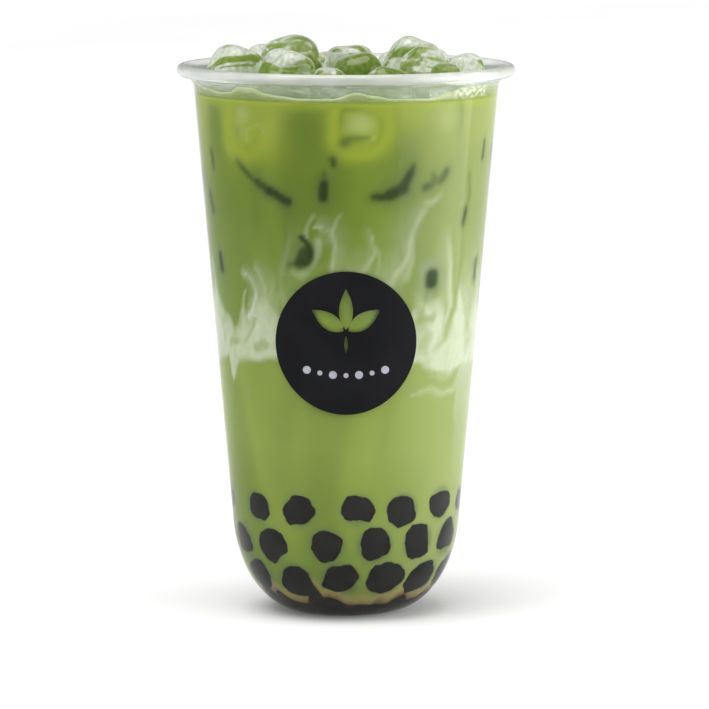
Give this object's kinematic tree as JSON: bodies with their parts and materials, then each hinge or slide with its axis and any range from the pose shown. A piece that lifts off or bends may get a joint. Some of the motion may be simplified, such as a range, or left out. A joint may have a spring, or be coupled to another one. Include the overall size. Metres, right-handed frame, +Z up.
{
  "type": "matcha latte",
  "caption": "Iced matcha latte with tapioca pearls, milk swirls and dark syrup in a clear round-bottomed cup with a rolled lip and a round label.",
  "frame": {"origin": "centre of the foot's bottom face, where the cup stands", "axes": "+Z up along the cup's axis, the label on the -Y side, +X to the right of the label"},
  "size_m": [0.095, 0.095, 0.163],
  "materials": {
    "cup": "clear, slightly hazy moulded plastic with a frosted lip",
    "drink": "opaque matcha green liquid with milk swirls",
    "syrup": "near-black brown sugar syrup",
    "label": "satin black print",
    "ice": "clear half-melted ice with cloudy streaks"
  },
  "bodies": {
    "root": {"cup": "cup", "drink": "drink", "syrup": "syrup", "label": "label", "ice_left_front": "ice", "ice_left_back": "ice", "ice_back_left": "ice", "ice_front_left": "ice", "ice_front_low": "ice", "ice_centre_back": "ice", "ice_centre": "ice", "ice_front_right": "ice", "ice_right_back": "ice", "ice_right_front": "ice", "ice_right_edge": "ice", "ice_front_edge": "ice", "ice_right_rear": "ice", "ice_back": "ice", "ice_back_right": "ice", "ice_left_rear": "ice"}
  },
  "joints": []
}
